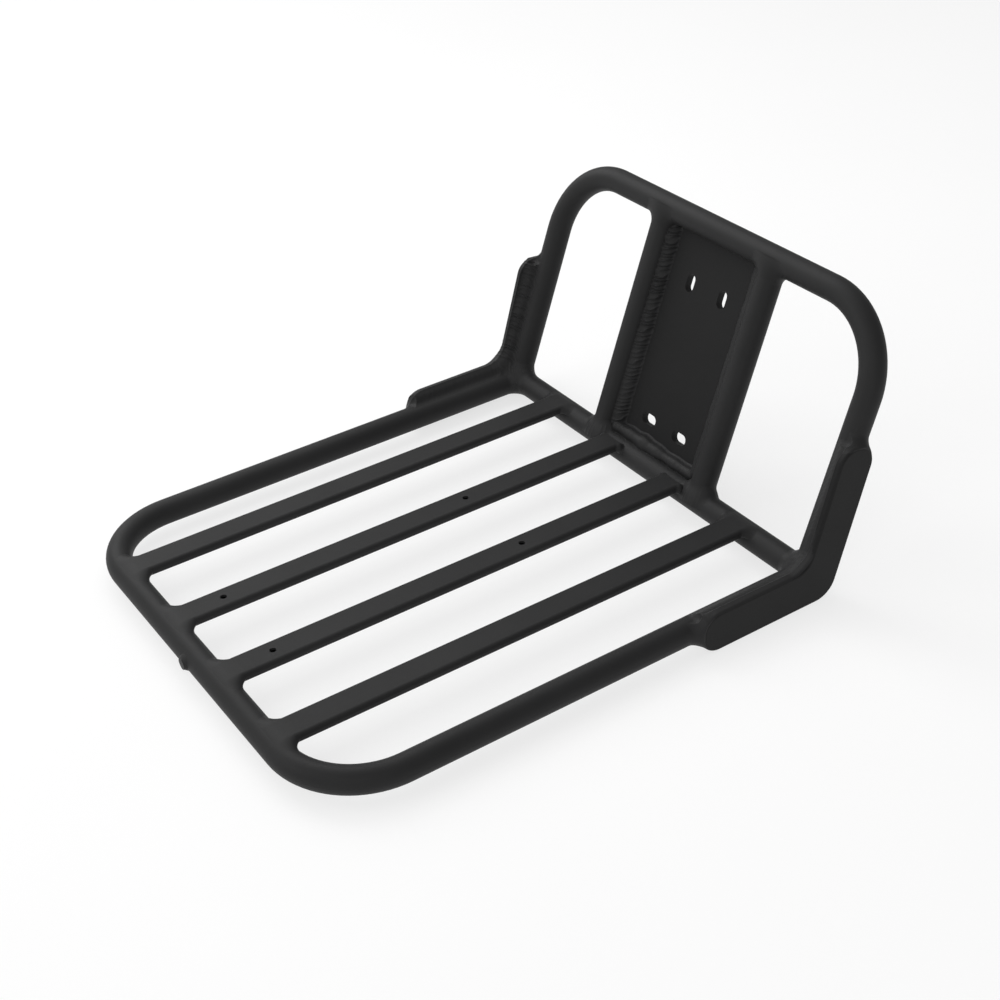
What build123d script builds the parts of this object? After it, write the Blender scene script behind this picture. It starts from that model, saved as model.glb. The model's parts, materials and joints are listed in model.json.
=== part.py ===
"""Welded aluminium front luggage rack for a bicycle.

A slatted deck, bent from one tube, stands out in front of a leaning hoop. Two posts inside the hoop carry
the plate that is bolted to the bicycle's head tube. Millimetres, +Z up, the deck level and reaching out
along -Y. The origin is the middle of the plate's back face, the face that lies against the bicycle.
"""

from build123d import *
import os
from math import cos, radians, sin

# Driving dimensions, millimetres and degrees
TUBE_RADIUS = 8.0
TUBE_WALL = 2.0
RACK_HALF_WIDTH = 147.0  # from the middle to the axis of a side rail
DECK_LENGTH = 320.0  # from the corner to the axis of the front bar
HOOP_RISE = 158.0  # from the corner to the axis of the hoop's top bar, along the slope
BEND_RADIUS = 48.0  # three tube diameters, to the tube's axis
LEAN = 20.5  # of the hoop, back from upright
POST_HALF_SPACING = 50.0

PLATE_THICKNESS = 5.0
PLATE_LAP = 6.0  # the plate's edges stop this far from the axes of the tubes round it
PLATE_CENTRE_RISE = 73.0  # from the corner, along the slope
SLOT_WIDTH = 7.2
SLOT_HALF_SPACING = 15.0
SLOT_RISE = 46.5  # of each pair of slots, above or below the plate's centre
UPPER_SLOT_LENGTH = 11.5  # upright
LOWER_SLOT_LENGTH = 13.0  # lying across

SLAT_COUNT = 4
SLAT_PITCH = 61.5
SLAT_WIDTH = 19.0
SLAT_HEIGHT = 6.0
SLAT_EDGE_RADIUS = 2.6
SLAT_WALL = 1.5
SLAT_LIFT = 6.0  # of the slats' middle above the tubes' axes
SLAT_FRONT_LAP = 4.0  # the slats stop this far behind the front bar's axis
SLAT_REAR_LAP = 5.5  # and this far in front of the cross tube's axis
DECK_HOLE_RADIUS = 2.0
DECK_HOLE_REAR = 120.0  # in front of the cross tube's axis
DECK_HOLE_SPACING = 167.0

GUSSET_THICKNESS = 4.0
GUSSET_WIDTH = 26.0
GUSSET_REACH = 86.0  # of each arm from the corner
GUSSET_LEAN = 17.5
GUSSET_END_RADIUS = 12.0
GUSSET_INNER_RADIUS = 12.0
GUSSET_OUTER_RADIUS = 15.0
GUSSET_EDGE_RADIUS = 1.8  # round the face that looks out

BOSS_RADIUS = 3.5
BOSS_THREAD_RADIUS = 2.1  # M5 at its minor diameter
BOSS_FACE = 9.5  # in front of the front bar's axis
BOSS_LENGTH = 8.5

# Weld beads
SEAM_RADIUS = 4.0  # between the plate and its posts
SEAM_START = 14.0  # above the corner, along the slope
SEAM_END = 147.0
FOOT_BEAD_RADIUS = 4.5  # the heavy bead along the plate's foot
FOOT_BEAD_RISE = 11.0
FOOT_BEAD_HALF_LENGTH = 38.0
BEAD_SET_BACK = 1.5  # of the plate's beads behind the hoop's middle plane
GUSSET_BEAD_RADIUS = 4.3
GUSSET_BEAD_OUT = 5.0  # of the bead's middle from the tube's axis, towards the gusset
GUSSET_BEAD_UP = 7.6  # and square to that
GUSSET_BEAD_START = 7.0  # of the hoop's bead, above the corner
END_BEAD_RADIUS = 4.5  # across the gusset's ends
END_BEAD_HALF_LENGTH = 9.0
END_BEAD_INSET = 1.0  # of its middle from the gusset's inner face, towards the tube
END_BEAD_PAST = 2.0  # the gusset's reach
COLLAR_RADIUS = 9.8  # beads that run round a tube's end, clear of a plate laid on the mount plate's back
COLLAR_LENGTH = 4.5
MITRE_BEAD_WIDTH = 3.0
MITRE_BEAD_PROUD = 1.5
FLARE_RADIUS = 5.0  # of the filled corners where a slat meets the front bar
FLARE_BOTTOM = 3.2  # above the tubes' axes
FLARE_TOP = 8.6
PAD_MARGIN = 1.5  # of the small bead beside and under a slat's rear end
PAD_LENGTH = 4.0
BOSS_BEAD_RADIUS = 4.8
BOSS_BEAD_LENGTH = 8.5

SIDES = {"left": -1, "right": 1}

bore_radius = TUBE_RADIUS - TUBE_WALL
gusset_inner_x = RACK_HALF_WIDTH + TUBE_RADIUS
slat_positions = [SLAT_PITCH * (index - (SLAT_COUNT - 1) / 2) for index in range(SLAT_COUNT)]
slat_run = DECK_LENGTH - SLAT_FRONT_LAP - SLAT_REAR_LAP
slat_top = SLAT_LIFT + SLAT_HEIGHT / 2

# The planes that everything is built on, through the corner where deck, hoop and cross tube meet
lean_angle = radians(LEAN)
corner = Vector(
    0,
    -(PLATE_CENTRE_RISE * sin(lean_angle) + TUBE_RADIUS * cos(lean_angle)),
    -(PLATE_CENTRE_RISE * cos(lean_angle) - TUBE_RADIUS * sin(lean_angle)),
)
hoop_up = Vector(0, sin(lean_angle), cos(lean_angle))
hoop_front = Vector(0, -cos(lean_angle), sin(lean_angle))
deck_plane = Plane(origin=corner)
hoop_plane = Plane(origin=corner, x_dir=(1, 0, 0), z_dir=hoop_front)
foot_plane = Plane(origin=corner, x_dir=(1, 0, 0), z_dir=hoop_up)
side_plane = Plane(origin=corner, x_dir=(0, 1, 0), z_dir=(1, 0, 0))
front_plane = Plane(origin=corner, x_dir=(1, 0, 0), z_dir=(0, -1, 0))
mitre_plane = Plane(origin=corner, x_dir=(1, 0, 0), z_dir=Vector(0, -1, 0) - hoop_up)


def round_bar(plane, place, radius, length, both=False):
    """A solid round bar, from a place on a plane along its normal."""
    with BuildPart() as bar:
        with BuildSketch(plane):
            with Locations(place):
                Circle(radius)
        extrude(amount=length, both=both)
    return bar.part


def u_bar(plane, far_side, radius):
    """A solid U-shaped bar in a plane: two legs from the corner line, and a bar across at far_side."""
    run_out = -TUBE_RADIUS if far_side > 0 else TUBE_RADIUS
    with BuildPart() as bar:
        with BuildLine(plane) as axis:
            FilletPolyline(
                (-RACK_HALF_WIDTH, run_out),
                (-RACK_HALF_WIDTH, far_side),
                (RACK_HALF_WIDTH, far_side),
                (RACK_HALF_WIDTH, run_out),
                radius=BEND_RADIUS,
            )
        with BuildSketch(Plane(origin=axis.line @ 0, z_dir=axis.line % 0)):
            Circle(radius)
        sweep(path=axis.line)
    return bar.part


def slat_bar(x, width, height, edge_radius):
    """A solid flat bar with rounded edges, from the front bar to the cross tube."""
    slat_end = front_plane.offset(SLAT_REAR_LAP)
    with BuildPart() as bar:
        with BuildSketch(slat_end):
            with Locations((x, SLAT_LIFT)):
                RectangleRounded(width, height, edge_radius)
        extrude(amount=slat_run)
    return bar.part


def cut_back(form, *others):
    """What is left of a form once the shapes that it meets are taken out of it."""
    with BuildPart() as rest:
        add(form)
        for other in others:
            add(other, mode=Mode.SUBTRACT)
    return rest.part


def mirrored(form):
    """The same form on the rack's other side."""
    with BuildPart() as other_side:
        mirror(form, about=Plane.YZ)
    return other_side.part


def finish(name, piece):
    """Labels a piece and writes its STEP file."""
    piece.label = name
    export_step(piece, f"parts/{name}.step")


# Filled outer shapes of the tubes, which the pieces that meet them are cut back to
with BuildPart() as deck_form:
    add(u_bar(deck_plane, -DECK_LENGTH, TUBE_RADIUS))
    split(bisect_by=mitre_plane, keep=Keep.TOP)

with BuildPart() as hoop_form:
    add(u_bar(hoop_plane, HOOP_RISE, TUBE_RADIUS))
    split(bisect_by=mitre_plane, keep=Keep.BOTTOM)

cross_form = round_bar(side_plane, (0, 0), TUBE_RADIUS, RACK_HALF_WIDTH, both=True)
post_forms = {
    side: round_bar(foot_plane, (sign * POST_HALF_SPACING, 0), TUBE_RADIUS, HOOP_RISE)
    for side, sign in SIDES.items()
}
boss_form = round_bar(front_plane.offset(BOSS_FACE - BOSS_LENGTH), (0, 0), BOSS_RADIUS, BOSS_LENGTH)
slat_forms = [slat_bar(x, SLAT_WIDTH, SLAT_HEIGHT, SLAT_EDGE_RADIUS) for x in slat_positions]

# The deck's loop: two side rails and the front bar, one bent tube, drilled for the lamp boss
with BuildPart() as deck_loop:
    add(u_bar(deck_plane, -DECK_LENGTH, TUBE_RADIUS))
    add(u_bar(deck_plane, -DECK_LENGTH, bore_radius), mode=Mode.SUBTRACT)
    split(bisect_by=mitre_plane, keep=Keep.TOP)
    with BuildSketch(front_plane.offset(DECK_LENGTH)):
        Circle(BOSS_RADIUS)
    extrude(amount=BOSS_FACE, mode=Mode.SUBTRACT)

# The hoop behind it, mitred to the rails
with BuildPart() as rear_hoop:
    add(u_bar(hoop_plane, HOOP_RISE, TUBE_RADIUS))
    add(u_bar(hoop_plane, HOOP_RISE, bore_radius), mode=Mode.SUBTRACT)
    split(bisect_by=mitre_plane, keep=Keep.BOTTOM)

# The cross tube, coped onto both mitred corners
with BuildPart() as cross_tube:
    add(cross_form)
    with BuildSketch(side_plane):
        Circle(bore_radius)
    extrude(amount=RACK_HALF_WIDTH, both=True, mode=Mode.SUBTRACT)
    add(deck_form.part, mode=Mode.SUBTRACT)
    add(hoop_form.part, mode=Mode.SUBTRACT)

# The posts, coped onto the cross tube and the hoop's top bar
posts = {}
for side, sign in SIDES.items():
    with BuildPart() as post:
        add(post_forms[side])
        with BuildSketch(foot_plane):
            with Locations((sign * POST_HALF_SPACING, 0)):
                Circle(bore_radius)
        extrude(amount=HOOP_RISE, mode=Mode.SUBTRACT)
        add(cross_form, mode=Mode.SUBTRACT)
        add(hoop_form.part, mode=Mode.SUBTRACT)
    posts[side] = post.part

# The mounting plate, its back flush with the backs of the posts and its edges coped to the tubes
with BuildPart() as mount_plate:
    with BuildSketch(hoop_plane.offset(-TUBE_RADIUS)):
        with Locations((0, HOOP_RISE / 2)):
            Rectangle(2 * (POST_HALF_SPACING - PLATE_LAP), HOOP_RISE - 2 * PLATE_LAP)
        for sign in SIDES.values():
            with Locations((sign * SLOT_HALF_SPACING, PLATE_CENTRE_RISE + SLOT_RISE)):
                SlotOverall(UPPER_SLOT_LENGTH, SLOT_WIDTH, rotation=90, mode=Mode.SUBTRACT)
            with Locations((sign * SLOT_HALF_SPACING, PLATE_CENTRE_RISE - SLOT_RISE)):
                SlotOverall(LOWER_SLOT_LENGTH, SLOT_WIDTH, mode=Mode.SUBTRACT)
    extrude(amount=PLATE_THICKNESS)
    add(cross_form, mode=Mode.SUBTRACT)
    add(hoop_form.part, mode=Mode.SUBTRACT)
    for form in post_forms.values():
        add(form, mode=Mode.SUBTRACT)

# The slats, flattened tubes coped onto the front bar and the cross tube. The two inner ones are drilled.
inner_slats = (1, 2)
slats = []
for index, x in enumerate(slat_positions):
    with BuildPart() as slat:
        add(slat_forms[index])
        add(
            slat_bar(
                x,
                SLAT_WIDTH - 2 * SLAT_WALL,
                SLAT_HEIGHT - 2 * SLAT_WALL,
                SLAT_EDGE_RADIUS - SLAT_WALL,
            ),
            mode=Mode.SUBTRACT,
        )
        add(deck_form.part, mode=Mode.SUBTRACT)
        add(cross_form, mode=Mode.SUBTRACT)
        if index in inner_slats:
            with BuildSketch(deck_plane.offset(slat_top)):
                for y in (-DECK_HOLE_REAR, -DECK_HOLE_REAR - DECK_HOLE_SPACING):
                    with Locations((x, y)):
                        Circle(DECK_HOLE_RADIUS)
            extrude(amount=-SLAT_HEIGHT, mode=Mode.SUBTRACT)
    slats.append(slat.part)

# The gussets, bent flat bars that lie against the outside of each corner
arm_half = GUSSET_WIDTH / 2
gusset_angle = radians(GUSSET_LEAN)
corner_run = arm_half * (1 - sin(gusset_angle)) / cos(gusset_angle)
arm_end = Vector(sin(gusset_angle), cos(gusset_angle)) * GUSSET_REACH
arm_front = Vector(-cos(gusset_angle), sin(gusset_angle)) * arm_half
gussets = {}
for side, sign in SIDES.items():
    with BuildPart() as gusset:
        with BuildSketch(side_plane.offset(sign * gusset_inner_x)):
            with BuildLine():
                FilletPolyline(
                    (-GUSSET_REACH, arm_half),
                    (-corner_run, arm_half),
                    arm_end + arm_front,
                    arm_end - arm_front,
                    (corner_run, -arm_half),
                    (-GUSSET_REACH, -arm_half),
                    radius=[
                        GUSSET_END_RADIUS,
                        GUSSET_INNER_RADIUS,
                        GUSSET_END_RADIUS,
                        GUSSET_END_RADIUS,
                        GUSSET_OUTER_RADIUS,
                        GUSSET_END_RADIUS,
                    ],
                    close=True,
                )
            make_face()
        extrude(amount=sign * GUSSET_THICKNESS)
        outer_face = gusset.faces().sort_by(Axis.X)[-1 if sign > 0 else 0]
        fillet(outer_face.edges(), radius=GUSSET_EDGE_RADIUS)
    gussets[side] = gusset.part

# The lamp boss, a threaded bush let into the middle of the front bar
with BuildPart() as light_boss:
    add(boss_form.moved(Location((0, -DECK_LENGTH, 0))))
    boss_face = front_plane.offset(DECK_LENGTH + BOSS_FACE)
    with BuildSketch(boss_face):
        Circle(BOSS_THREAD_RADIUS)
    extrude(amount=-BOSS_LENGTH, mode=Mode.SUBTRACT)

# Weld beads. Each is a plain form laid in its corner and cut back to the pieces that it joins. Those that
# come in pairs are made on the right and mirrored.
right_welds = {}
mitre_half_length = TUBE_RADIUS / sin(radians(90 + LEAN) / 2)
collar_near = RACK_HALF_WIDTH - TUBE_RADIUS - COLLAR_LENGTH / 2
foot_collar_start = TUBE_RADIUS - COLLAR_LENGTH / 2
top_collar_start = HOOP_RISE - TUBE_RADIUS - COLLAR_LENGTH / 2
gusset_bead_x = RACK_HALF_WIDTH + GUSSET_BEAD_OUT
gusset_bead_length = GUSSET_REACH - END_BEAD_RADIUS
end_bead_x = gusset_inner_x - END_BEAD_INSET
end_bead_reach = GUSSET_REACH + END_BEAD_PAST

# Round the cross tube's end, against the rail and the hoop
corner_bead = round_bar(side_plane.offset(collar_near), (0, 0), COLLAR_RADIUS, COLLAR_LENGTH)
right_welds["weld_corner"] = cut_back(corner_bead, cross_form, deck_form.part, hoop_form.part)

# Along the mitre between rail and hoop
with BuildPart() as mitre_bead:
    with BuildSketch(mitre_plane):
        with Locations((RACK_HALF_WIDTH, 0)):
            Ellipse(TUBE_RADIUS + MITRE_BEAD_PROUD, mitre_half_length + MITRE_BEAD_PROUD)
    extrude(amount=MITRE_BEAD_WIDTH / 2, both=True)
right_welds["weld_mitre"] = cut_back(
    mitre_bead.part, deck_form.part, hoop_form.part, cross_form, gussets["right"], corner_bead
)

# Along the gusset's arms, in the hollow between tube and gusset, and across the arms' ends
rail_bead = round_bar(front_plane, (gusset_bead_x, GUSSET_BEAD_UP), GUSSET_BEAD_RADIUS, gusset_bead_length)
upright_bead = round_bar(
    foot_plane.offset(GUSSET_BEAD_START),
    (gusset_bead_x, -GUSSET_BEAD_UP),
    GUSSET_BEAD_RADIUS,
    gusset_bead_length - GUSSET_BEAD_START,
)
rail_end_bead = round_bar(
    deck_plane.offset(-END_BEAD_HALF_LENGTH),
    (end_bead_x, -end_bead_reach),
    END_BEAD_RADIUS,
    2 * END_BEAD_HALF_LENGTH,
)
upright_end_bead = round_bar(
    hoop_plane.offset(-END_BEAD_HALF_LENGTH),
    (end_bead_x, end_bead_reach),
    END_BEAD_RADIUS,
    2 * END_BEAD_HALF_LENGTH,
)
joined = (deck_form.part, hoop_form.part, gussets["right"])
right_welds["weld_gusset_deck"] = cut_back(rail_bead, *joined, mitre_bead.part, rail_end_bead)
right_welds["weld_gusset_hoop"] = cut_back(
    upright_bead, *joined, mitre_bead.part, rail_bead, upright_end_bead
)
right_welds["weld_gusset_deck_end"] = cut_back(rail_end_bead, *joined)
right_welds["weld_gusset_hoop_end"] = cut_back(upright_end_bead, *joined)

# Round the post's foot and top
for place, start, bar in (("foot", foot_collar_start, cross_form), ("top", top_collar_start, hoop_form.part)):
    ring = round_bar(foot_plane.offset(start), (POST_HALF_SPACING, 0), COLLAR_RADIUS, COLLAR_LENGTH)
    right_welds[f"weld_post_{place}"] = cut_back(ring, post_forms["right"], bar, mount_plate.part)

# Across the plate's foot and up its side
foot_bead = round_bar(
    side_plane.offset(-FOOT_BEAD_HALF_LENGTH),
    (0, 0),
    FOOT_BEAD_RADIUS,
    2 * FOOT_BEAD_HALF_LENGTH,
)
foot_bead = foot_bead.moved(Location(hoop_up * FOOT_BEAD_RISE - hoop_front * BEAD_SET_BACK))
seam = round_bar(
    foot_plane.offset(SEAM_START),
    (POST_HALF_SPACING - TUBE_RADIUS, BEAD_SET_BACK),
    SEAM_RADIUS,
    SEAM_END - SEAM_START,
)
right_welds["weld_plate"] = cut_back(
    seam,
    post_forms["right"],
    hoop_form.part,
    mount_plate.part,
    foot_bead,
    right_welds["weld_post_foot"],
    right_welds["weld_post_top"],
)

welds = {"weld_plate_foot": cut_back(foot_bead, cross_form, mount_plate.part)}
for name, weld in right_welds.items():
    welds[f"{name}_right"] = weld
    welds[f"{name}_left"] = mirrored(weld)

# At each end of every slat: filled corners at the front bar, and at the cross tube a small bead that leaves
# the slat's top clear
flare_half_width = SLAT_WIDTH / 2 + FLARE_RADIUS
flare_back = -DECK_LENGTH + TUBE_RADIUS + FLARE_RADIUS
for index, x in enumerate(slat_positions):
    number = index + 1
    with BuildPart() as flare:
        with BuildSketch(deck_plane.offset(FLARE_BOTTOM)):
            with Locations((x, (flare_back - DECK_LENGTH) / 2)):
                Rectangle(2 * flare_half_width, flare_back + DECK_LENGTH)
            with Locations((x - flare_half_width, flare_back), (x + flare_half_width, flare_back)):
                Circle(FLARE_RADIUS, mode=Mode.SUBTRACT)
        extrude(amount=FLARE_TOP - FLARE_BOTTOM)
    welds[f"weld_slat_front_{number}"] = cut_back(flare.part, deck_form.part, slat_forms[index])

    with BuildPart() as pad:
        with BuildSketch(front_plane.offset(SLAT_REAR_LAP)):
            with Locations((x, SLAT_LIFT - PAD_MARGIN / 2)):
                RectangleRounded(
                    SLAT_WIDTH + 2 * PAD_MARGIN,
                    SLAT_HEIGHT + PAD_MARGIN,
                    SLAT_EDGE_RADIUS + PAD_MARGIN / 2,
                )
        extrude(amount=PAD_LENGTH)
    welds[f"weld_slat_rear_{number}"] = cut_back(pad.part, cross_form, slat_forms[index])

# Round the lamp boss
boss_bead = round_bar(front_plane.offset(DECK_LENGTH), (0, 0), BOSS_BEAD_RADIUS, BOSS_BEAD_LENGTH)
welds["weld_boss"] = cut_back(boss_bead, deck_form.part, boss_form.moved(Location((0, -DECK_LENGTH, 0))))

os.makedirs("parts", exist_ok=True)
finish("deck_loop", deck_loop.part)
finish("rear_hoop", rear_hoop.part)
finish("cross_tube", cross_tube.part)
finish("mount_plate", mount_plate.part)
finish("light_boss", light_boss.part)
for side in SIDES:
    finish(f"post_{side}", posts[side])
    finish(f"gusset_{side}", gussets[side])
for index, slat_part in enumerate(slats):
    finish(f"slat_{index + 1}", slat_part)
for name, weld in welds.items():
    finish(name, weld)
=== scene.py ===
"""Looks of the welded bicycle front rack: camera, light, powder coat and the weld beads.

Each weld bead is grown as a level surface round the joint that the frame gives, so that it melts into
the tubes as a real bead does, with the ripples as geometry. Fields are in millimetres from the corner
where deck, hoop and cross tube meet: x to the side, y back, z up. Finished meshes are in metres in the
frame's own axes.
"""

import json
from math import asin, cos, pi, radians, sin

import bpy
import numpy as np
from mathutils import Euler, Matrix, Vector


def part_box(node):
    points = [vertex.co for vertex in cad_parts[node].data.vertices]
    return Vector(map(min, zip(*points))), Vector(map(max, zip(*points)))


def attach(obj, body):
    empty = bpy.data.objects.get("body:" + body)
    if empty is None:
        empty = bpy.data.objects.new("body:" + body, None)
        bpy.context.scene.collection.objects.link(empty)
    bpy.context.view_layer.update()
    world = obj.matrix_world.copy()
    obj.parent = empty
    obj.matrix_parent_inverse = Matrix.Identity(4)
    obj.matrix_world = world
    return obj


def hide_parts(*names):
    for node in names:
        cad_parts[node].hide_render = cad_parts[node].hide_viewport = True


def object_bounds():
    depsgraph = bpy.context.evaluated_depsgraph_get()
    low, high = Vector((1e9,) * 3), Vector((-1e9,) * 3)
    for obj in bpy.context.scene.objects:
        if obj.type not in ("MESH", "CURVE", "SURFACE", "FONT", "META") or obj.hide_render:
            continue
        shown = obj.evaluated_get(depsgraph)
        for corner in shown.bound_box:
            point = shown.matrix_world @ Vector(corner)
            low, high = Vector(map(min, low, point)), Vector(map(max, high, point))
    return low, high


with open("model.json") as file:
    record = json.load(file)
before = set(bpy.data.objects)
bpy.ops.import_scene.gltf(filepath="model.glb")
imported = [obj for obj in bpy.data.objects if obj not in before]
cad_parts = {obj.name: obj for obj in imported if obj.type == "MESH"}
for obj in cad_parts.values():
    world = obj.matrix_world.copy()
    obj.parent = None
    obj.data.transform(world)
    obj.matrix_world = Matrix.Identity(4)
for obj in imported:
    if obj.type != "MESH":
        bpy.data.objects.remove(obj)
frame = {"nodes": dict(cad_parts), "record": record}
cad_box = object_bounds()

MM = 0.001


def box_mm(node):
    """A CAD node's lowest and highest corners, in millimetres."""
    low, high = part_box(node)
    return np.array(low) / MM, np.array(high) / MM


# Sizes worked out from the frame
cross_low, cross_high = box_mm("cross_tube")
CORNER = (cross_low + cross_high) / 2
CORNER[0] = 0.0
TUBE = (cross_high[2] - cross_low[2]) / 2
deck_low, deck_high = box_mm("deck_loop")
HALF_WIDTH = deck_high[0] - TUBE
DECK_LENGTH = CORNER[1] - deck_low[1] - TUBE
mount_axis = next(m["axis"] for m in frame["record"]["mounts"] if m["name"] == "head_tube_face")
LEAN = -asin(mount_axis[2])
SIN_LEAN = sin(LEAN)
COS_LEAN = cos(LEAN)
_, hoop_high = box_mm("rear_hoop")
HOOP_RISE = (hoop_high[2] - CORNER[2] - TUBE) / COS_LEAN
post_low, post_high = box_mm("post_right")
POST_X = (post_low[0] + post_high[0]) / 2
_, plate_high = box_mm("mount_plate")
PLATE_HALF_WIDTH = plate_high[0]
slat_boxes = [box_mm(name) for name in sorted(frame["nodes"]) if name.startswith("slat_")]
SLAT_X = [(low[0] + high[0]) / 2 for low, high in slat_boxes]
SLAT_HALF = (slat_boxes[0][1] - slat_boxes[0][0]) / 2
SLAT_Z = (slat_boxes[0][1][2] + slat_boxes[0][0][2]) / 2 - CORNER[2]
gusset_low, gusset_high = box_mm("gusset_right")
GUSSET_X = (gusset_low[0] + gusset_high[0]) / 2
GUSSET_HALF_THICKNESS = (gusset_high[0] - gusset_low[0]) / 2
boss_low, boss_high = box_mm("light_boss")
BOSS_RADIUS = (boss_high[0] - boss_low[0]) / 2
BOSS_FRONT = CORNER[1] - boss_low[1]
GROUND = cad_box[0].z  # in metres

# Sizes that a box can't give
BEND_RADIUS = 48.0
PLATE_THICKNESS = 5.0
PLATE_LAP = 6.0
SLAT_EDGE_RADIUS = 2.6
GUSSET_HALF_WIDTH = 13.0
GUSSET_REACH = 86.0
GUSSET_LEAN = radians(17.5)
GUSSET_END_RADIUS = 12.0
GUSSET_INNER_RADIUS = 12.0
GUSSET_OUTER_RADIUS = 15.0
GUSSET_EDGE_RADIUS = 1.8

# How a bead is grown
CELL = 0.5  # of the grid
SKIN = 0.12  # the bead's thin edge lies this far under the tube's surface
THIN = 0.03  # the bead ends where it adds less than this
ROOT = 1.2  # how deep the bead goes into the metal
STEP = 0.02  # for slopes of a field
SETTLE_ROUNDS = 3
SETTLE_MOST = 0.4  # of a cell, in each round
GENTLEST = 0.05  # the squared slope of a field counts as no less than this
TINY = 1e-9  # keeps a division from failing

SIDES = {"left": -1, "right": 1}


# ---------------------------------------------------------------- fields: distance, negative inside


def leaning(p):
    """Side, rise along the hoop's slope, and distance in front of the hoop's middle plane."""
    x, y, z = p.T
    return x, y * SIN_LEAN + z * COS_LEAN, z * SIN_LEAN - y * COS_LEAN


def bent_line(across, along, far):
    """Distance in its plane from a U whose legs are HALF_WIDTH out and whose bar is at far."""
    side = np.abs(across) - (HALF_WIDTH - BEND_RADIUS)
    ahead = along - (far - BEND_RADIUS)
    corner = np.hypot(np.maximum(side, 0), np.maximum(ahead, 0))
    return np.abs(corner + np.minimum(np.maximum(side, ahead), 0) - BEND_RADIUS)


def mitre_side(p):
    """Distance from the mitre between rail and hoop, positive on the hoop's side."""
    y, z = p[:, 1], p[:, 2]
    across = np.hypot(SIN_LEAN + 1, COS_LEAN)
    return (y * (SIN_LEAN + 1) + z * COS_LEAN) / across


def deck_tube(p):
    tube = np.hypot(bent_line(p[:, 0], -p[:, 1], DECK_LENGTH), p[:, 2]) - TUBE
    return np.maximum(tube, mitre_side(p))


def hoop_tube(p):
    x, rise, front = leaning(p)
    tube = np.hypot(bent_line(x, rise, HOOP_RISE), front) - TUBE
    return np.maximum(tube, -mitre_side(p))


def cross_tube(p):
    return np.maximum(np.hypot(p[:, 1], p[:, 2]) - TUBE, np.abs(p[:, 0]) - HALF_WIDTH)


def posts(p):
    x, rise, front = leaning(p)
    return np.maximum(np.hypot(np.abs(x) - POST_X, front) - TUBE, -rise)


def rounded_box(offsets, halves, radius):
    """A box with rounded edges, from the offsets from its middle."""
    q = [np.abs(offset) - (half - radius) for offset, half in zip(offsets, halves)]
    outside = np.sqrt(sum(np.maximum(side, 0) ** 2 for side in q))
    return outside + np.minimum(np.maximum.reduce(q), 0) - radius


def mount_plate(p):
    x, rise, front = leaning(p)
    middle = PLATE_THICKNESS / 2 - TUBE
    half_rise = HOOP_RISE / 2 - PLATE_LAP
    halves = (PLATE_HALF_WIDTH, half_rise, PLATE_THICKNESS / 2)
    return rounded_box((x, rise - HOOP_RISE / 2, front - middle), halves, 0.0)


def slat(x_middle):
    """The slat whose middle is at x_middle, with its section rounded and its ends square."""
    low, high = slat_boxes[0]
    back = high[1] - CORNER[1]
    ahead = low[1] - CORNER[1]

    def field(p):
        section = rounded_box(
            (p[:, 0] - x_middle, p[:, 2] - SLAT_Z), (SLAT_HALF[0], SLAT_HALF[2]), SLAT_EDGE_RADIUS
        )
        return np.maximum(section, np.abs(p[:, 1] - (back + ahead) / 2) - (back - ahead) / 2)

    return field


def gusset(p):
    """Both gussets: an outline of two arms, as thick as the plate."""
    y, z = p[:, 1], p[:, 2]
    rail_reach, rail_across = -y, z
    arm_reach = y * sin(GUSSET_LEAN) + z * cos(GUSSET_LEAN)
    arm_across = z * sin(GUSSET_LEAN) - y * cos(GUSSET_LEAN)
    inner = fillet(rail_across - GUSSET_HALF_WIDTH, arm_across - GUSSET_HALF_WIDTH, GUSSET_INNER_RADIUS)
    outer = rounded_corner(
        -rail_across - GUSSET_HALF_WIDTH, -arm_across - GUSSET_HALF_WIDTH, GUSSET_OUTER_RADIUS
    )
    ends = np.maximum(rail_reach, arm_reach) - GUSSET_REACH
    outline = rounded_corner(np.maximum(inner, outer), ends, GUSSET_END_RADIUS)
    out = np.abs(p[:, 0]) - GUSSET_X
    edged = rounded_corner(outline, out - GUSSET_HALF_THICKNESS, GUSSET_EDGE_RADIUS)
    return np.maximum(edged, -out - GUSSET_HALF_THICKNESS)


def boss(p):
    around = np.hypot(p[:, 0], p[:, 2]) - BOSS_RADIUS
    return np.maximum(around, -p[:, 1] - BOSS_FRONT)


def rod(start, end, radius):
    """The field of a round-ended rod between two points."""
    start = np.array(start, float)
    run = np.array(end, float) - start

    def field(p):
        share = np.clip((p - start) @ run / (run @ run), 0, 1)
        return np.linalg.norm(p - start - share[:, None] * run, axis=1) - radius

    return field


# ---------------------------------------------------------------- how fields join


def fillet(a, b, radius):
    """Two shapes as one, with a round fillet between them."""
    return np.maximum(radius, np.minimum(a, b)) - np.hypot(
        np.maximum(radius - a, 0), np.maximum(radius - b, 0)
    )


def rounded_corner(a, b, radius):
    """What two shapes share, with the edge between them rounded."""
    return np.minimum(-radius, np.maximum(a, b)) + np.hypot(
        np.maximum(radius + a, 0), np.maximum(radius + b, 0)
    )


def melt(a, b, width):
    """Two shapes as one, swollen where they meet."""
    near = np.maximum(width - np.abs(a - b), 0) / width
    return np.minimum(a, b) - near * near * width / 4


def melt_all(values, width):
    """Several shapes melted together in turn."""
    joined = values[0]
    for value in values[1:]:
        joined = melt(joined, value, width)
    return joined


def wander(along, seed):
    """A slow, uneven wave between -1 and 1."""
    return 0.6 * np.sin(0.31 * along + 2.1 * seed) + 0.4 * np.sin(0.83 * along + 4.7 * seed + 1.3)


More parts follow.
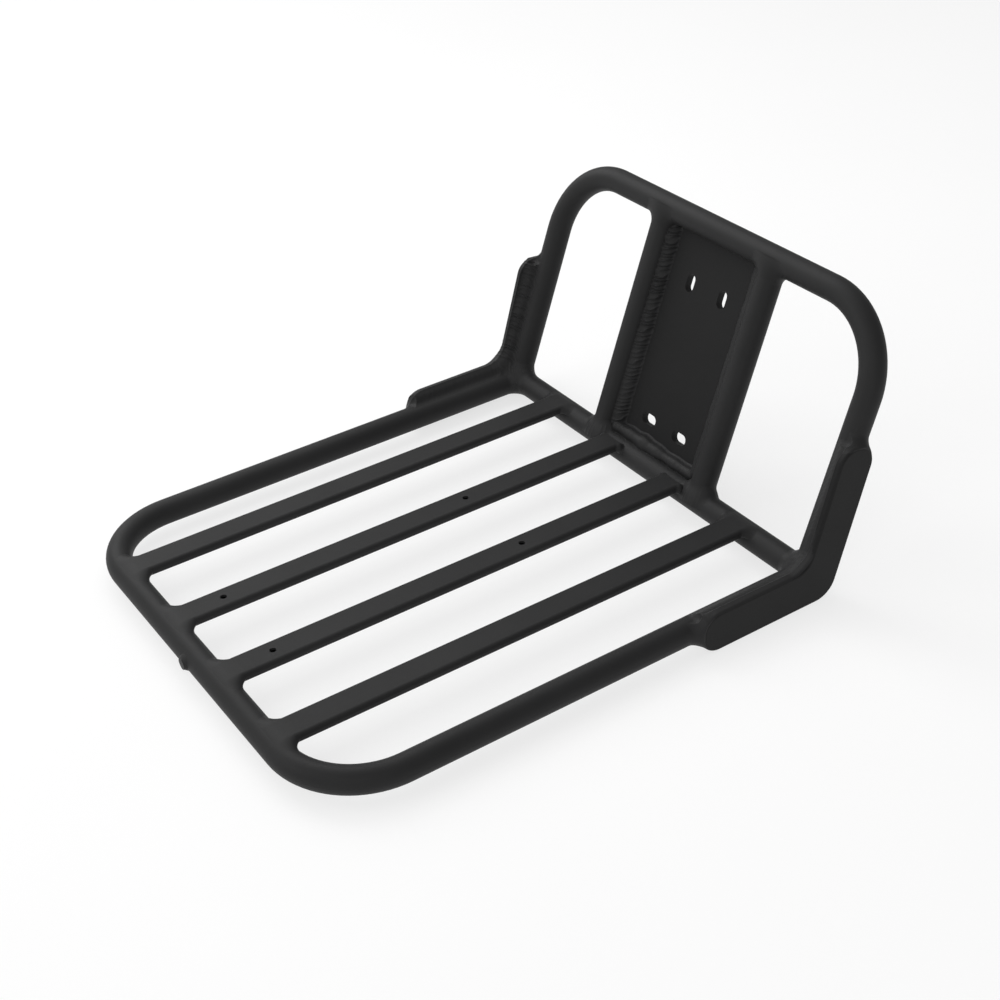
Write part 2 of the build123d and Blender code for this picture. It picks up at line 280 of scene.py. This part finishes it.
RIPPLE_BOW = 0.09  # how far a ring lags at the bead's edge, for each square millimetre from its middle
RIPPLE_DRIFT = 0.45  # of a pitch
RIPPLE_STEEPNESS = 0.7  # of a ring's far side
RIPPLE_UNEVENNESS = 0.25  # of a ring's height


def ripples(along, across, pitch, seed):
    """The stacked rings of a hand-laid bead, between 0 and 1."""
    place = along + RIPPLE_BOW * across * across + RIPPLE_DRIFT * pitch * wander(along, seed)
    turn = 2 * pi * place / pitch
    height = 0.5 + 0.5 * np.cos(turn + RIPPLE_STEEPNESS * np.sin(turn))
    return height * (1 - RIPPLE_UNEVENNESS + RIPPLE_UNEVENNESS * wander(0.7 * along, seed + 5))


# ---------------------------------------------------------------- from a field to a mesh


def grid_values(field, low, high, cell):
    counts = np.ceil((high - low) / cell).astype(int) + 1
    axes = [low[i] + cell * np.arange(counts[i]) for i in range(3)]
    points = np.stack(np.meshgrid(*axes, indexing="ij"), axis=-1).reshape(-1, 3)
    edge = np.minimum(points - low, low + cell * (counts - 1) - points).min(axis=1)
    values = np.maximum(field(points), 0.5 * cell - edge)
    return values.reshape(counts)


def net(values):
    """A point in each cell that the surface crosses, and a quad round each grid edge that crosses it."""
    inside = values < 0
    cells = tuple(n - 1 for n in values.shape)
    total = np.zeros(cells + (3,))
    count = np.zeros(cells)
    for axis in range(3):
        others = [i for i in range(3) if i != axis]
        for first in (0, 1):
            for second in (0, 1):
                start = [0, 0, 0]
                start[others[0]] = first
                start[others[1]] = second
                stop = list(start)
                stop[axis] = 1
                near = tuple(slice(s, s + n) for s, n in zip(start, cells))
                far = tuple(slice(s, s + n) for s, n in zip(stop, cells))
                a, b = values[near], values[far]
                crossed = inside[near] != inside[far]
                share = np.where(crossed, a / np.where(crossed, a - b, 1), 0)
                for i in range(3):
                    total[..., i] += np.where(crossed, start[i] + (share if i == axis else 0), 0)
                count += crossed
    used = count > 0
    number = np.full(cells, -1)
    number[used] = np.arange(used.sum())
    places = np.argwhere(used) + total[used] / count[used][:, None]
    quads = []
    for axis in range(3):
        u, v = (axis + 1) % 3, (axis + 2) % 3
        a = np.moveaxis(inside, (axis, u, v), (0, 1, 2))
        numbers = np.moveaxis(number, (axis, u, v), (0, 1, 2))
        change = a[:-1, 1:-1, 1:-1] != a[1:, 1:-1, 1:-1]
        i, j, k = np.nonzero(change)
        leaves = a[i, j + 1, k + 1]
        ring = [numbers[i, j, k], numbers[i, j + 1, k], numbers[i, j + 1, k + 1], numbers[i, j, k + 1]]
        ring = np.stack(ring, axis=1)
        ring[~leaves] = ring[~leaves][:, ::-1]
        quads.append(ring)
    return places, np.concatenate(quads)


def slope(field, points):
    moves = STEP * np.eye(3)
    return np.stack([field(points + m) - field(points - m) for m in moves], axis=1) / (2 * STEP)


def settle(field, points, furthest):
    """Points moved onto the surface itself, none of them further than a given length."""
    for _ in range(SETTLE_ROUNDS):
        value = field(points)
        gradient = slope(field, points)
        steep = np.maximum((gradient**2).sum(axis=1), GENTLEST)
        move = -(value / steep)[:, None] * gradient
        length = np.linalg.norm(move, axis=1)
        points = points + move * np.minimum(1, furthest / np.maximum(length, TINY))[:, None]
    return points


def to_frame(points):
    """Millimetres from the corner, as metres in the frame."""
    return (points + CORNER) * MM


def mesh_piece(name, points, normals, faces, material):
    mesh = bpy.data.meshes.new(name)
    mesh.from_pydata(points.tolist(), [], faces.tolist())
    mesh.normals_split_custom_set_from_vertices(normals.tolist())
    mesh.materials.append(material)
    piece = bpy.data.objects.new(name, mesh)
    bpy.context.scene.collection.objects.link(piece)
    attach(piece, "root")
    return piece


def grow_weld(name, nodes, parts, shape, low, high, leans=False, rise_end=None):
    """Grows the bead that shape adds to the parts it joins, inside a box, in place of its CAD nodes.

    With leans, the box is given along the hoop's slope: side, distance in front of the hoop, rise.
    The bead can also be cut off square to the hoop, at rise_end."""

    def to_corner(p):
        if not leans:
            return p
        x, front, rise = p.T
        y = rise * SIN_LEAN - front * COS_LEAN
        return np.stack([x, y, rise * COS_LEAN + front * SIN_LEAN], axis=1)

    def joined(p):
        p = to_corner(p)
        return np.minimum.reduce([shape(p)] + [part(p) for part in parts])

    def bead(p):
        full = joined(p)
        bare = np.minimum.reduce([part(to_corner(p)) for part in parts])
        added = np.maximum.reduce([full + SKIN, -bare - ROOT, full - bare + THIN])
        return added if rise_end is None else np.maximum(added, leaning(p)[1] - rise_end)

    low, high = np.array(low, float), np.array(high, float)
    places, faces = net(grid_values(bead, low, high, CELL))
    points = low + CELL * places
    free = np.minimum(points - low, high - points).min(axis=1) > CELL
    points[free] = settle(bead, points[free], SETTLE_MOST * CELL)
    if leans:
        faces = faces[:, ::-1]
    normals = to_corner(slope(joined, points))
    normals /= np.linalg.norm(normals, axis=1)[:, None] + TINY
    piece = mesh_piece(name, to_frame(to_corner(points)), normals, faces, coat_on_welds)
    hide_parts(*nodes)
    return piece


# ---------------------------------------------------------------- materials


def node(tree, kind, place, **settings):
    """A shader node with its sockets set by name or number."""
    made = tree.nodes.new(kind)
    made.location = place
    for key, value in settings.items():
        made.inputs[key].default_value = value
    return made


COAT_DARKEST = (0.0145, 0.0145, 0.0148)
COAT_LIGHTEST = (0.0175, 0.0175, 0.0178)
COAT_IOR = 1.45
COAT_SPECULAR = 0.2
PATCHES_PER_METRE = 22.0
SPECKS_PER_METRE = 1500.0
SPECK_DEPTH = 0.02
MIDDLE_OF_NOISE = (0.3, 0.7)  # where nearly all of a noise texture's values lie
GLOSS_SPREAD = (-0.04, 0.05)  # of the roughness


def powder_coat(name, peel, peel_size, roughness, lighter):
    """Satin black powder coat. Peel is the depth of its orange peel, and peel_size its grain, in mm.
    Lighter scales its colour; below 1 it paints shade into the coat.
    """
    material = bpy.data.materials.new(name)
    material.use_nodes = True
    tree = material.node_tree
    tree.nodes.clear()
    link = tree.links.new
    place = node(tree, "ShaderNodeTexCoord", (-1200, 0))

    noise = "ShaderNodeTexNoise"
    peel_scale = 1 / (peel_size * MM)
    patches = node(tree, noise, (-900, 300), Scale=PATCHES_PER_METRE, Detail=3.0, Roughness=0.55)
    grain = node(tree, noise, (-900, 0), Scale=peel_scale, Detail=2.0, Roughness=0.5)
    specks = node(tree, noise, (-900, -300), Scale=SPECKS_PER_METRE, Detail=4.0, Roughness=0.7)
    for texture in (patches, grain, specks):
        link(place.outputs["Object"], texture.inputs["Vector"])

    colour = node(tree, "ShaderNodeValToRGB", (-600, 300))
    for stop, place_on_ramp, shade in zip(
        colour.color_ramp.elements, MIDDLE_OF_NOISE, (COAT_DARKEST, COAT_LIGHTEST)
    ):
        stop.position = place_on_ramp
        stop.color = (*(channel * lighter for channel in shade), 1)
    link(patches.outputs["Fac"], colour.inputs["Fac"])

    gloss = node(tree, "ShaderNodeMapRange", (-600, 0))
    gloss.inputs["From Min"].default_value = MIDDLE_OF_NOISE[0]
    gloss.inputs["From Max"].default_value = MIDDLE_OF_NOISE[1]
    gloss.inputs["To Min"].default_value = roughness + GLOSS_SPREAD[0]
    gloss.inputs["To Max"].default_value = roughness + GLOSS_SPREAD[1]
    link(specks.outputs["Fac"], gloss.inputs["Value"])

    fine = node(tree, "ShaderNodeBump", (-300, -350), Strength=0.25, Distance=SPECK_DEPTH * MM)
    link(specks.outputs["Fac"], fine.inputs["Height"])
    skin = node(tree, "ShaderNodeBump", (-100, -250), Strength=1.0, Distance=peel * MM)
    link(grain.outputs["Fac"], skin.inputs["Height"])
    link(fine.outputs["Normal"], skin.inputs["Normal"])

    shader = node(tree, "ShaderNodeBsdfPrincipled", (100, 100))
    shader.inputs["IOR"].default_value = COAT_IOR
    shader.inputs["Specular IOR Level"].default_value = COAT_SPECULAR
    link(colour.outputs["Color"], shader.inputs["Base Color"])
    link(gloss.outputs["Result"], shader.inputs["Roughness"])
    link(skin.outputs["Normal"], shader.inputs["Normal"])
    out = node(tree, "ShaderNodeOutputMaterial", (400, 100))
    link(shader.outputs["BSDF"], out.inputs["Surface"])
    return material


coat_on_tubes = powder_coat("coat_on_tubes", peel=0.012, peel_size=1.6, roughness=0.55, lighter=1.0)
# Painted shade: the same coat at about half its colour, for the recessed mount plate and the shaded
# outer face of the right gusset.
coat_in_painted_shade = powder_coat("coat_in_painted_shade", peel=0.010, peel_size=2.0, roughness=0.6, lighter=0.52)
coat_on_welds = powder_coat("coat_on_welds", peel=0.02, peel_size=1.1, roughness=0.53, lighter=1.0)


def coat_frame():
    """Gives every CAD node that stays in sight its coat. The mount plate and the right gusset get the
    coat darkened as painted shade; the left gusset is as light as the tubes.
    """
    painted_shade_nodes = ("mount_plate", "gusset_right")
    for name, cad_node in frame["nodes"].items():
        cad_node.data.materials.clear()
        cad_node.data.materials.append(coat_in_painted_shade if name in painted_shade_nodes else coat_on_tubes)


# ---------------------------------------------------------------- weld beads

# Where a gusset lies on its tubes
CORNER_MELT = 8.0
GUSSET_MELT = 3.0
GUSSET_BEADS = {  # out and up are from the tube's axis to the bead's middle
    "left": {"out": 6.0, "up": 9.5, "radius": 3.6, "rail_ripple": 0.12, "upright_ripple": 1.1},
    "right": {"out": 5.2, "up": 7.0, "radius": 4.3, "rail_ripple": 0.1, "upright_ripple": 0.15},
}
GUSSET_BEAD_MELT = 6.0
GUSSET_CLIMB = 2.2  # of the beads, into the gusset's inner bend
GUSSET_CLIMB_START = 20.0
GUSSET_CLIMB_FULL = 8.0
GUSSET_PITCH = 3.4
NUB_FILLET = 7.0  # round a gusset's end
NUB_START = 77.0
NUB_FULL = 85.0
GUSSET_BOXES = {  # for the right side; neighbours overlap by little more than a millimetre
    "rail": ((140.0, -100.2, -14.2), (161.0, -18.7, 16.0)),
    "upright": ((140.0, -14.0, 16.0), (161.0, 16.0, 100.0)),
    "corner": ((128.0, -20.0, -17.0), (161.0, 20.0, 24.0)),
}
CORNER_RISE_END = 17.0

# Round a tube's end
RING_RADIUS = 1.7
RING_INSET = 0.5  # of its middle from both surfaces, outward
RING_MELT = 3.0
POST_MELT = 8.0
RING_PITCH = 2.8
RING_RIPPLE = {"left": 0.7, "right": 0.25}
RING_SLANT = 0.6  # of the ripples in the corner's ring
RING_FADE = 3.0  # sinks the beads out of sight under and behind the corner
POST_BOX_SIDE = 15.0
POST_BOX_DEPTH = (-12.0, 12.0)
POST_BOX_RISE = 22.0
POST_BOX_PAST = 2.0

# Down the plate's sides and along its foot
SEAMS = {
    "left": {"x": -41.3, "front": -4.0, "radius": 6.6, "ripple": 1.15},
    "right": {"x": 41.0, "front": -4.0, "radius": 6.6, "ripple": 0.12},
}
SEAM_START = 14.0
SEAM_END = 147.0
SEAM_PITCH = 3.1
SEAM_MELT = 2.0
SEAM_WANDER = 0.3
SEAM_SMOOTHEST = 0.4  # share of its ripples that the seam keeps at its foot
SEAM_ROUGHENS = (30, 120)
SEAM_BOX_SIDE = 8.0
SEAM_BOX_DEPTH = (-5.0, 7.0)
SEAM_BOX_PAST = 6.0
FOOT_RISE = 11.0
FOOT_FRONT = -1.5
FOOT_RADIUS = 4.6
FOOT_HALF_LENGTH = 38.0
FOOT_THINNING = 1.2  # from left to right
FOOT_THINS = (-10, 36)
FOOT_LUMPS = ((0.75, 0.5, 3), (0.12, 1.6, 8))  # how much, how quickly along it, seed
FOOT_MELT = 3.0
FOOT_GROOVE_MELT = 1.0
FOOT_BOX_DEPTH = (-6.0, 6.0)
FOOT_BOX_RISE = (4.0, 20.0)
FOOT_BOX_PAST = 6.0

# Where slats meet the front bar and the cross tube
CAP_RADIUS = 20.0  # of the slat's top, as it comes over the tube
CAP_LIFT = 0.2
CAP_START = 17.0  # in front of the tube's middle
CAP_FULL = 9.0
CAP_END = 3.4  # past the tube's middle
CAP_MELT = 0.8
WEB_START = 17.0
WEB_FULL = 5.0
WEB_REACH = {"front": 9.5, "rear": 6.5}
BLOB_RADIUS = 2.9
BLOB_MELT = 2.0
BLOB_INSET = 1.0
BLOB_PLACE = (-6.5, 5.6)  # back and up from the cross tube's middle
INNER_SLATS = (2, 3)  # these are only tacked to the cross tube
SLAT_BOX_SIDE = {"front": 20.0, "rear": 18.0}
SLAT_BOX_LENGTH = 19.0
SLAT_BOX_PAST = 7.0
SLAT_BOX_RISE = (-2.0, 11.0)

# Round the boss
BOSS_BEAD_RADIUS = 1.0
BOSS_BEAD_INSET = 0.1
BOSS_MELT = 1.5
BOSS_BOX_SIDE = 8.0
BOSS_BOX_AHEAD = (10.0, 4.0)  # of the front bar's middle


def seam(a, b, radius, inset=RING_INSET):
    """A bead that follows the line where two surfaces meet."""
    return np.hypot(a - inset, b - inset) - radius


def ramp(value, start, full):
    """A smooth step from 0 to 1."""
    share = np.clip((value - start) / (full - start), 0, 1)
    return share * share * (3 - 2 * share)


def sloping(x, rise, front):
    """A place given along the hoop's slope, in the corner's axes."""
    return x, rise * SIN_LEAN - front * COS_LEAN, rise * COS_LEAN + front * SIN_LEAN


def gusset_beads(side, seed):
    """The field of all that joins one gusset to its tubes, and the tubes to each other."""
    sizes = GUSSET_BEADS[side]
    bead_x = SIDES[side] * (HALF_WIDTH + sizes["out"])

    def above_middle(up, along):
        return up - sizes["up"] - GUSSET_CLIMB * ramp(-along, -GUSSET_CLIMB_START, -GUSSET_CLIMB_FULL)

    def field(p):
        _, rise, front = leaning(p)
        rail, hoop, cross, plate = deck_tube(p), hoop_tube(p), cross_tube(p), gusset(p)
        tubes = melt_all([rail, hoop, cross], CORNER_MELT)
        lying = melt(tubes, plate, GUSSET_MELT)
        wrapped = fillet(tubes, plate, NUB_FILLET)
        joint = lying + ramp(np.maximum(-p[:, 1], rise), NUB_START, NUB_FULL) * (wrapped - lying)
        across = p[:, 0] - bead_x
        rail_bead = np.hypot(across, above_middle(p[:, 2], -p[:, 1])) - sizes["radius"]
        rail_bead = np.maximum.reduce([rail_bead, -p[:, 1] - GUSSET_REACH + sizes["radius"], p[:, 1]])
        rail_rings = 1 - ripples(p[:, 1], across, GUSSET_PITCH, seed)
        rail_bead = rail_bead + sizes["rail_ripple"] * rail_rings
        upright_bead = np.hypot(across, above_middle(front, rise)) - sizes["radius"]
        upright_bead = np.maximum.reduce([upright_bead, rise - GUSSET_REACH + sizes["radius"], -rise])
        upright_rings = 1 - ripples(rise, across, GUSSET_PITCH, seed)
        upright_bead = upright_bead + sizes["upright_ripple"] * upright_rings
        joint = melt(joint, melt(rail_bead, upright_bead, CORNER_MELT), GUSSET_BEAD_MELT)
        mitre = seam(mitre_side(p), np.minimum(rail, hoop), RING_RADIUS, 0.0)
        ring = np.minimum(mitre, seam(cross, np.minimum(rail, hoop), RING_RADIUS))
        along_ring = p[:, 2] + RING_SLANT * p[:, 1]
        ring = ring + RING_RIPPLE[side] * (1 - ripples(along_ring, across, RING_PITCH, seed + 2))
        ring = ring + RING_FADE * (1 - ramp(p[:, 2] - p[:, 1], 0.0, TUBE))
        joint = melt(joint, ring, RING_MELT)
        return np.maximum(joint, np.abs(p[:, 0]) - GUSSET_X - GUSSET_HALF_THICKNESS + THIN / 2)

    return field


def weld_gussets():
    parts = [deck_tube, hoop_tube, cross_tube, gusset]
    welds = {
        "rail": ("weld_gusset_deck_{}", "weld_gusset_deck_end_{}"),
        "upright": ("weld_gusset_hoop_{}", "weld_gusset_hoop_end_{}"),
        "corner": ("weld_corner_{}", "weld_mitre_{}"),
    }
    for seed, (side, sign) in enumerate(SIDES.items()):
        field = gusset_beads(side, seed)
        for place, (low, high) in GUSSET_BOXES.items():
            left, right = sorted((sign * low[0], sign * high[0]))
            grow_weld(
                f"beads_{place}_{side}",
                [weld.format(side) for weld in welds[place]],
                parts,
                field,
                (left, *low[1:]),
                (right, *high[1:]),
                leans=place == "upright",
                rise_end=CORNER_RISE_END if place == "corner" else None,
            )


def weld_posts():
    for seed, (side, sign) in enumerate(SIDES.items()):
        post_x = sign * POST_X

        def foot(p):
            x, _, front = leaning(p)
            tube, post = cross_tube(p), posts(p)
            turn = TUBE * np.arctan2(front, x - post_x)
            ring = seam(tube, post, RING_RADIUS)
            ring = ring + RING_RIPPLE[side] * (1 - ripples(turn, 0.0, RING_PITCH, seed))
            return melt(melt(tube, post, POST_MELT), ring, RING_MELT)

        def top(p):
            return melt(hoop_tube(p), posts(p), POST_MELT)

        for end, field, tube, low, high in (
            ("foot", foot, cross_tube, -POST_BOX_PAST, POST_BOX_RISE),
            ("top", top, hoop_tube, HOOP_RISE - POST_BOX_RISE, HOOP_RISE + POST_BOX_PAST),
        ):
            grow_weld(
                f"beads_post_{end}_{side}",
                [f"weld_post_{end}_{side}"],
                [tube, posts, mount_plate],
                field,
                (post_x - POST_BOX_SIDE, POST_BOX_DEPTH[0], low),
                (post_x + POST_BOX_SIDE, POST_BOX_DEPTH[1], high),
                leans=True,
            )


def weld_plate():
    for seed, (side, sizes) in enumerate(SEAMS.items()):

        def beaded(p):
            x, rise, front = leaning(p)
            across = x - sizes["x"] + SEAM_WANDER * wander(0.7 * rise, seed)
            past_end = rise - np.clip(rise, SEAM_START, SEAM_END)
            bead = np.sqrt(across**2 + (front - sizes["front"]) ** 2 + past_end**2) - sizes["radius"]
            rough = SEAM_SMOOTHEST + (1 - SEAM_SMOOTHEST) * ramp(rise, *SEAM_ROUGHENS)
            bead = bead + sizes["ripple"] * rough * (1 - ripples(-rise, across, SEAM_PITCH, seed + 1))
            return melt(np.minimum(posts(p), mount_plate(p)), bead, SEAM_MELT)

        grow_weld(
            f"beads_plate_{side}",
            [f"weld_plate_{side}"],
            [posts, mount_plate, hoop_tube],
            beaded,
            (sizes["x"] - SEAM_BOX_SIDE, SEAM_BOX_DEPTH[0], SEAM_START - SEAM_BOX_PAST),
            (sizes["x"] + SEAM_BOX_SIDE, SEAM_BOX_DEPTH[1], SEAM_END + SEAM_BOX_PAST),
            leans=True,
        )

    ends = [sloping(x, FOOT_RISE, FOOT_FRONT) for x in (-FOOT_HALF_LENGTH, FOOT_HALF_LENGTH)]
    bead = rod(*ends, FOOT_RADIUS)

    def foot(p):
        x = p[:, 0]
        beaded = bead(p) + FOOT_THINNING * ramp(x, *FOOT_THINS)
        for height, pace, lump_seed in FOOT_LUMPS:
            beaded = beaded + height * wander(pace * x, lump_seed)
        return melt(melt(mount_plate(p), beaded, FOOT_MELT), cross_tube(p), FOOT_GROOVE_MELT)

    grow_weld(
        "beads_plate_foot",
        ["weld_plate_foot"],
        [cross_tube, mount_plate, posts],
        foot,
        (-FOOT_HALF_LENGTH - FOOT_BOX_PAST, FOOT_BOX_DEPTH[0], FOOT_BOX_RISE[0]),
        (FOOT_HALF_LENGTH + FOOT_BOX_PAST, FOOT_BOX_DEPTH[1], FOOT_BOX_RISE[1]),
        leans=True,
    )


def slat_end(tube, x_middle, tube_y, out, web_reach):
    """A slat's end, rounded over onto the tube and widening towards it. Out is the way past the tube."""
    top = SLAT_Z + SLAT_HALF[2] + CAP_LIFT
    middle_z = top - CAP_RADIUS
    middle_w = -np.sqrt((CAP_RADIUS - TUBE) ** 2 - middle_z**2)

    def field(p):
        w = out * (p[:, 1] - tube_y)
        past = np.clip(w - middle_w, 0, TUBE)
        drop = CAP_RADIUS - np.sqrt(CAP_RADIUS**2 - past**2) - CAP_LIFT * ramp(w, -CAP_START, -CAP_FULL)
        profile = np.maximum(np.abs(p[:, 2] + drop - SLAT_Z) - SLAT_HALF[2], w - CAP_END)
        side = np.abs(p[:, 0] - x_middle) - SLAT_HALF[0] + SLAT_EDGE_RADIUS
        reach = SLAT_EDGE_RADIUS + web_reach * ramp(w, -WEB_START, -WEB_FULL)
        share = 1 - ramp(side / reach, 0, 1)
        bare = tube(p)
        return bare + share * (np.minimum(profile, bare) - bare)

    return field


def slat_corner_blobs(x_middle):
    """What a short tack weld leaves at the two corners of a slat's end."""
    spots = [(x_middle + side * (SLAT_HALF[0] - BLOB_INSET), *BLOB_PLACE) for side in (-1, 1)]

    def field(p):
        return np.minimum.reduce([np.linalg.norm(p - spot, axis=1) - BLOB_RADIUS for spot in spots])

    return field


def weld_slats():
    for number, x in enumerate(SLAT_X, 1):
        own = slat(x)
        for end, tube, tube_y, out in (
            ("front", deck_tube, -DECK_LENGTH, -1),
            ("rear", cross_tube, 0.0, 1),
        ):
            ahead, behind = sorted((tube_y - out * SLAT_BOX_LENGTH, tube_y + out * SLAT_BOX_PAST))
            smooth = slat_end(tube, x, tube_y, out, WEB_REACH[end])

            def tacked(p):
                return melt(melt(tube(p), own(p), CAP_MELT), slat_corner_blobs(x)(p), BLOB_MELT)

            grow_weld(
                f"beads_slat_{end}_{number}",
                [f"weld_slat_{end}_{number}"],
                [tube, own],
                tacked if end == "rear" and number in INNER_SLATS else smooth,
                (x - SLAT_BOX_SIDE[end], ahead, SLAT_BOX_RISE[0]),
                (x + SLAT_BOX_SIDE[end], behind, SLAT_BOX_RISE[1]),
            )


def weld_boss():
    def ringed(p):
        tube, bush = deck_tube(p), boss(p)
        bead = seam(tube, bush, BOSS_BEAD_RADIUS, BOSS_BEAD_INSET)
        return melt(np.minimum(tube, bush), bead, BOSS_MELT)

    grow_weld(
        "beads_boss",
        ["weld_boss"],
        [deck_tube, boss],
        ringed,
        (-BOSS_BOX_SIDE, -DECK_LENGTH - BOSS_BOX_AHEAD[0], -BOSS_BOX_SIDE),
        (BOSS_BOX_SIDE, -DECK_LENGTH - BOSS_BOX_AHEAD[1], BOSS_BOX_SIDE),
    )


coat_frame()
weld_gussets()
weld_posts()
weld_plate()
weld_slats()
weld_boss()

# ---------------------------------------------------------------- the set


FLOOR_SIZE = 8.0
FLOOR_SHADES = ((0.24, 0.24, 0.24, 1), (0.26, 0.26, 0.26, 1))
FLOOR_GLOW = 0.72  # keeps the shadows on it faint
WORLD_STRENGTH = 0.42
LIGHTS = {  # place and aim in metres
    "overhead": {"place": (-0.5, 0.0, 1.4), "aim": (0, -0.15, 0), "size": 1.6, "power": 4.5},
    "front": {"place": (-0.45, -1.4, 0.75), "aim": (0, -0.05, 0.05), "size": 1.2, "power": 7.0},
    "left": {"place": (-1.3, -0.3, 0.9), "aim": (0, -0.1, 0), "size": 1.0, "power": 10.0},
    "fill": {"place": (1.2, -1.2, 0.9), "aim": (0, -0.05, 0.05), "size": 1.5, "power": 7.5},
    "near": {"place": (-0.4, 0.0, 0.65), "aim": (-0.15, 0, 0), "size": 0.5, "power": 1.2},
}


def build_floor():
    """A plain pale floor that glows a little."""
    bpy.ops.mesh.primitive_plane_add(size=FLOOR_SIZE, location=(0, 0, GROUND))
    floor = bpy.context.object
    floor.name = "floor"
    material = bpy.data.materials.new("pale_floor")
    material.use_nodes = True
    tree = material.node_tree
    shader = tree.nodes["Principled BSDF"]
    shader.inputs["Roughness"].default_value = 0.9
    shader.inputs["Specular IOR Level"].default_value = 0.1
    place = node(tree, "ShaderNodeTexCoord", (-800, 0))
    mottle = node(tree, "ShaderNodeTexNoise", (-600, 0), Scale=3.0, Detail=3.0)
    tint = node(tree, "ShaderNodeValToRGB", (-400, 0))
    for stop, shade in zip(tint.color_ramp.elements, FLOOR_SHADES):
        stop.color = shade
    tree.links.new(place.outputs["Object"], mottle.inputs["Vector"])
    tree.links.new(mottle.outputs["Fac"], tint.inputs["Fac"])
    tree.links.new(tint.outputs["Color"], shader.inputs["Base Color"])
    shader.inputs["Emission Color"].default_value = (1, 1, 1, 1)
    shader.inputs["Emission Strength"].default_value = FLOOR_GLOW
    floor.data.materials.append(material)


def soft_light(name, place, aim, size, power):
    data = bpy.data.lights.new(name, "AREA")
    data.shape = "SQUARE"
    data.size = size
    data.energy = power
    lamp = bpy.data.objects.new(name, data)
    lamp.location = place
    lamp.rotation_euler = (Vector(aim) - Vector(place)).to_track_quat("-Z", "Y").to_euler()
    bpy.context.scene.collection.objects.link(lamp)


def light_set():
    for name, values in LIGHTS.items():
        soft_light(name, **values)
    world = bpy.data.worlds.new("studio")
    world.use_nodes = True
    background = world.node_tree.nodes["Background"]
    background.inputs["Color"].default_value = (1, 1, 1, 1)
    background.inputs["Strength"].default_value = WORLD_STRENGTH
    bpy.context.scene.world = world


CAMERA_PLACE = (0.71633, -0.59803, 0.51912)
CAMERA_TURN = 57.819  # degrees to the left of +Y
CAMERA_DROP = 33.659  # degrees under the horizon
CAMERA_ROLL = -3.26
CAMERA_LENS = 60.366
SENSOR_WIDTH = 36.0


def add_camera():
    data = bpy.data.cameras.new("camera")
    data.lens = CAMERA_LENS
    data.sensor_width = SENSOR_WIDTH
    camera = bpy.data.objects.new("camera", data)
    camera.location = CAMERA_PLACE
    turn = Euler((radians(90 - CAMERA_DROP), 0, radians(CAMERA_TURN)), "XYZ").to_matrix()
    roll = Euler((0, 0, radians(CAMERA_ROLL)), "XYZ").to_matrix()
    camera.rotation_euler = (turn @ roll).to_euler()
    bpy.context.scene.collection.objects.link(camera)
    bpy.context.scene.camera = camera


build_floor()
light_set()
add_camera()
bpy.context.scene.view_settings.view_transform = "Standard"
